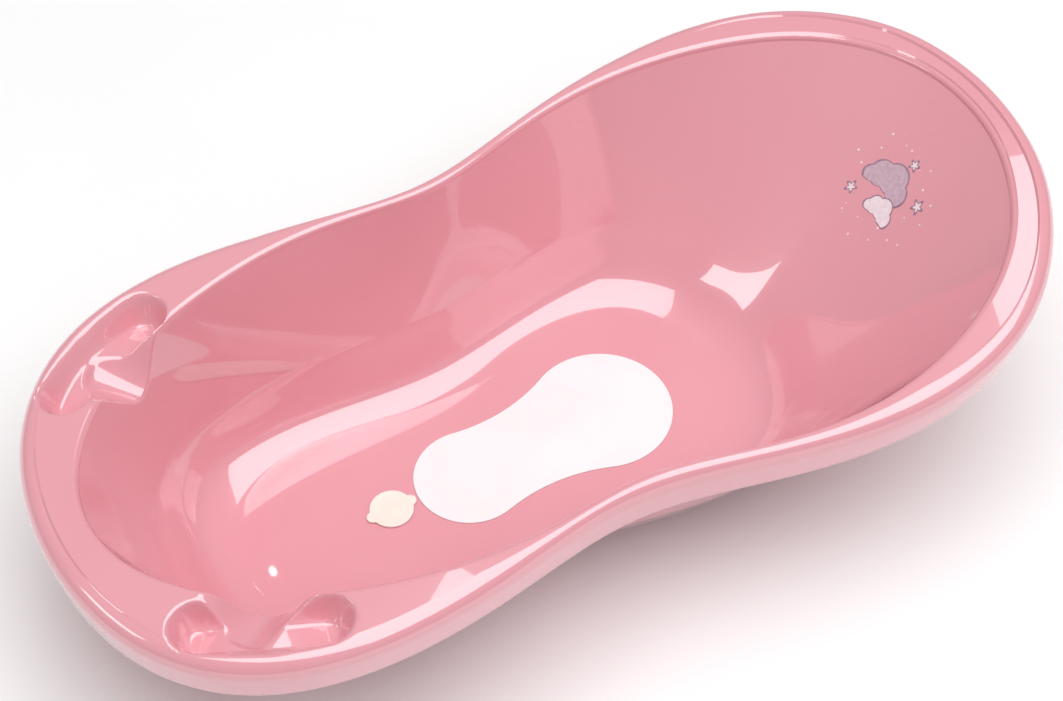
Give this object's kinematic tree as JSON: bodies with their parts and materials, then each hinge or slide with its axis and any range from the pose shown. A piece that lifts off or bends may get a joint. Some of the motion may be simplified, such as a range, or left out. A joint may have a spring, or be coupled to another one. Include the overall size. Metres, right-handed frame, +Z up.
{
  "type": "baby bathtub",
  "caption": "Moulded baby bathtub with a rolled rim, waisted outline, raised backrest, sunken soap dishes, anti-slip mat and pull-out drain plug.",
  "frame": {"origin": "middle of the tub's bounding box, on the ground it stands on", "axes": "+X to the raised head end, +Y across the tub, +Z up"},
  "size_m": [1, 0.53, 0.2659],
  "materials": {
    "pink_plastic": "glossy injection-moulded polypropylene",
    "white_rubber": "satin thermoplastic rubber with a fine grain",
    "cream_rubber": "satin soft rubber",
    "mauve_print": "printed film"
  },
  "bodies": {
    "tub": {"tub_shell": "pink_plastic", "anti_slip_mat": "white_rubber", "printed_film": "mauve_print"},
    "plug": {"drain_plug": "cream_rubber"}
  },
  "joints": [
    {"name": "plug_pull", "type": "slide", "parent": "tub", "child": "plug", "axis": [0, 0, 1], "range_m": [0, 0.3]}
  ]
}
